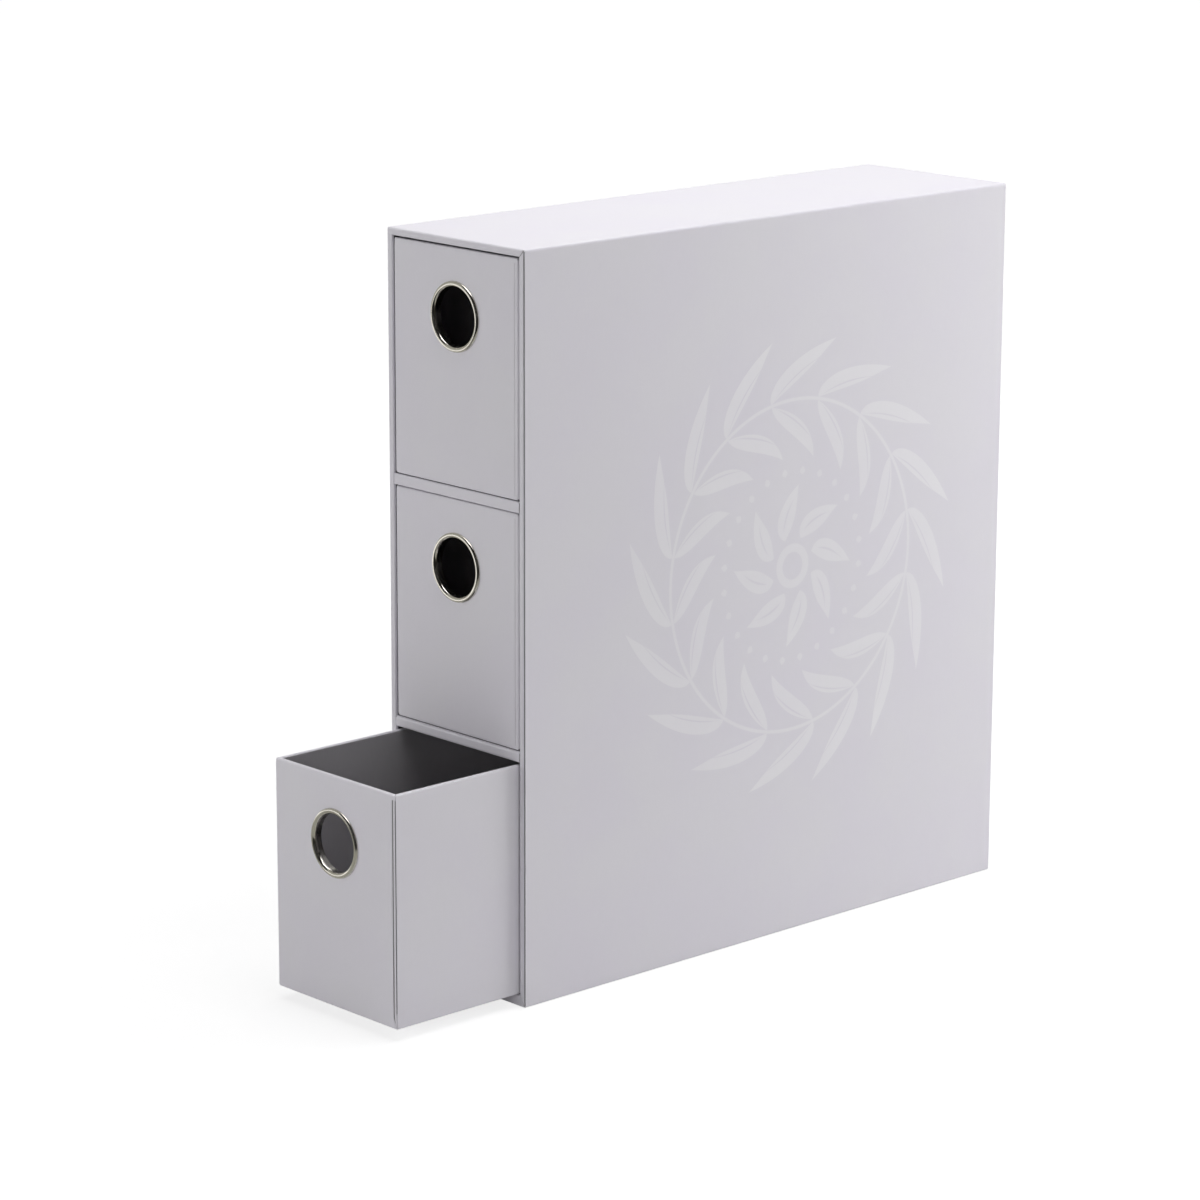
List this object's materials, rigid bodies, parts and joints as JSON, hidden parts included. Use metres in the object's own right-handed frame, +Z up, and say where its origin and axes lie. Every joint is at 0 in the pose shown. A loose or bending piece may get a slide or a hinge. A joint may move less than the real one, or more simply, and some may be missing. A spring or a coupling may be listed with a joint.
{
  "type": "trading card drawer box",
  "caption": "Tall, narrow rigid case of paper-wrapped greyboard holding a stack of open-topped card drawers that slide out of its front by round metal finger rings.",
  "frame": {"origin": "centre of the case's base, on the surface that it stands on", "axes": "+Z up, -Y out of the front where the drawers open, +X towards the case's right-hand side"},
  "size_m": [0.0904, 0.3798, 0.34],
  "materials": {
    "cover_paper": "matte",
    "side_sheet": "matte",
    "greyboard": "matte",
    "dark_lining": "matte",
    "ring_metal": "polished"
  },
  "bodies": {
    "case": {"left_side_board": "greyboard", "right_side_board": "greyboard", "top_board": "greyboard", "base_board": "greyboard", "back_board": "greyboard", "upper_shelf_board": "greyboard", "lower_shelf_board": "greyboard", "case_cover_paper": "cover_paper", "right_side_sheet": "side_sheet", "back_sheet": "cover_paper", "base_sheet": "cover_paper", "right_front_edging": "cover_paper", "upper_shelf_edging": "cover_paper", "lower_shelf_edging": "cover_paper", "upper_bay_lining": "dark_lining", "middle_bay_lining": "dark_lining", "lower_bay_lining": "dark_lining"},
    "upper_drawer": {"upper_drawer_front_board": "greyboard", "upper_drawer_back_board": "greyboard", "upper_drawer_left_board": "greyboard", "upper_drawer_right_board": "greyboard", "upper_drawer_floor_board": "greyboard", "upper_drawer_wrap": "cover_paper", "upper_drawer_lining": "dark_lining", "upper_drawer_ring": "ring_metal", "upper_drawer_washer": "ring_metal"},
    "middle_drawer": {"middle_drawer_front_board": "greyboard", "middle_drawer_back_board": "greyboard", "middle_drawer_left_board": "greyboard", "middle_drawer_right_board": "greyboard", "middle_drawer_floor_board": "greyboard", "middle_drawer_wrap": "cover_paper", "middle_drawer_lining": "dark_lining", "middle_drawer_ring": "ring_metal", "middle_drawer_washer": "ring_metal"},
    "lower_drawer": {"lower_drawer_front_board": "greyboard", "lower_drawer_back_board": "greyboard", "lower_drawer_left_board": "greyboard", "lower_drawer_right_board": "greyboard", "lower_drawer_floor_board": "greyboard", "lower_drawer_wrap": "cover_paper", "lower_drawer_lining": "dark_lining", "lower_drawer_ring": "ring_metal", "lower_drawer_washer": "ring_metal"}
  },
  "joints": [
    {"name": "upper_drawer_slide", "type": "slide", "parent": "case", "child": "upper_drawer", "axis": [0, -1, 0], "range_m": [0, 0.265]},
    {"name": "middle_drawer_slide", "type": "slide", "parent": "case", "child": "middle_drawer", "axis": [0, -1, 0], "range_m": [0, 0.265]},
    {"name": "lower_drawer_slide", "type": "slide", "parent": "case", "child": "lower_drawer", "axis": [0, -1, 0], "range_m": [-0.071, 0.194]}
  ]
}
